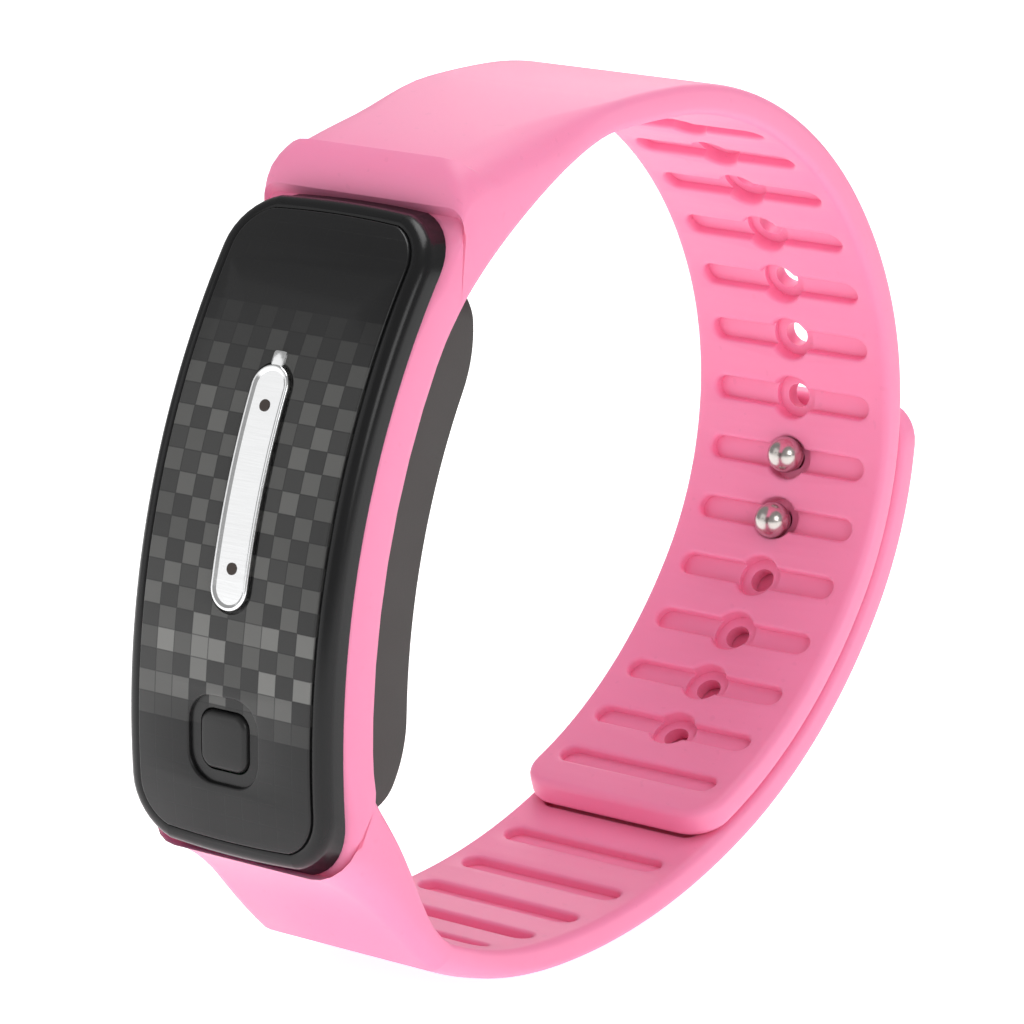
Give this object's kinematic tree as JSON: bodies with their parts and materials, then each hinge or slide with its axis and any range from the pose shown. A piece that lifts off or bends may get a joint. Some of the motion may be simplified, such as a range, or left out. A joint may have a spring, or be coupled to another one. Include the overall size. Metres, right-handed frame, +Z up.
{
  "type": "fitness tracker band",
  "caption": "Curved black tracker pod with a chrome bar and one button, clipped in a pink silicone wrist band with a stud-and-hole clasp.",
  "frame": {"origin": "on the floor plane under the middle of the closed loop", "axes": "+X across the band, -Y the side the pod faces, +Z up with the band standing on its lower strap"},
  "size_m": [0.0192, 0.0756, 0.0662],
  "materials": {
    "silicone": "soft satin pink silicone",
    "clasp_metal": "polished steel",
    "gloss_black": "gloss black",
    "lens_print": "gloss black with a chequered print",
    "tape": "matt black",
    "chrome_trim": "bright chrome",
    "dark_pin": "dark",
    "button_black": "satin black",
    "switch_metal": "plain",
    "switch_plunger": "matt",
    "display_glass": "gloss",
    "foam": "matt foam",
    "flex_film": "amber film",
    "board": "green solder mask",
    "chip": "moulded black",
    "ceramic": "ceramic",
    "cell_foil": "foil",
    "lead_sleeve": "red sleeve",
    "rotor_metal": "plain",
    "case_black": "fine matt texture",
    "seal": "black rubber",
    "gold": "gold plated"
  },
  "bodies": {
    "band": {"band_frame": "silicone"},
    "pod": {"front_bezel": "gloss_black", "front_lens": "lens_print", "lens_tape": "tape", "trim_bar": "chrome_trim", "trim_pins": "dark_pin", "tact_switch": "switch_metal", "display_panel": "display_glass", "display_gasket": "foam", "display_flex": "flex_film", "main_board": "board", "radio_chip": "chip", "motion_sensor": "chip", "chip_antenna": "ceramic", "battery": "cell_foil", "battery_leads": "lead_sleeve", "motor_can": "switch_metal", "motor_base": "switch_metal", "motor_shaft": "switch_metal", "body_case": "case_black", "rear_cover": "case_black", "cover_seal": "seal", "charging_contacts": "gold", "cover_screws": "clasp_metal"},
    "button": {"button_cap": "button_black"},
    "plunger": {"switch_plunger": "switch_plunger"},
    "rotor": {"motor_rotor": "rotor_metal"},
    "lower_strap": {"stud_strap": "silicone"},
    "clasp": {"stud_strap_end": "silicone", "stud_plate": "clasp_metal", "clasp_studs": "clasp_metal"},
    "upper_strap": {"hole_strap": "silicone"}
  },
  "joints": [
    {"name": "pod_slide", "type": "slide", "parent": "band", "child": "pod", "axis": [0, -0.9613, 0.2756], "range_m": [0, 0.014]},
    {"name": "button_press", "type": "slide", "parent": "pod", "child": "button", "axis": [0, 0.9613, -0.2756], "range_m": [0, 0.0003], "stiffness_N_per_m": 1500},
    {"name": "plunger_press", "type": "slide", "parent": "pod", "child": "plunger", "axis": [0, 0.9613, -0.2756], "range_m": [0, 0.0003]},
    {"name": "motor_spin", "type": "hinge", "parent": "pod", "child": "rotor", "pos_m": [0, -0.0316, 0.0225], "axis": [0, 0.9613, -0.2756], "continuous": true},
    {"name": "lower_strap_flex", "type": "hinge", "parent": "band", "child": "lower_strap", "pos_m": [0, -0.024, 0.00324], "axis": [-1, 0, 0], "range_deg": [0, 50], "stiffness_Nm_per_rad": 0.05},
    {"name": "upper_strap_flex", "type": "hinge", "parent": "band", "child": "upper_strap", "pos_m": [0, -0.00287, 0.06606], "axis": [1, 0, 0], "range_deg": [0, 25], "stiffness_Nm_per_rad": 0.05},
    {"name": "clasp_peel", "type": "hinge", "parent": "lower_strap", "child": "clasp", "pos_m": [0, 0.02992, 0.01586], "axis": [-1, 0, 0], "range_deg": [0, 40], "stiffness_Nm_per_rad": 0.02, "deforming": ["hole_strap"]}
  ],
  "couplings": [
    {"joint": "plunger_press", "follows": "button_press", "ratio": 1},
    {"joint": "upper_strap_flex", "follows": "lower_strap_flex", "ratio": 0.5}
  ]
}
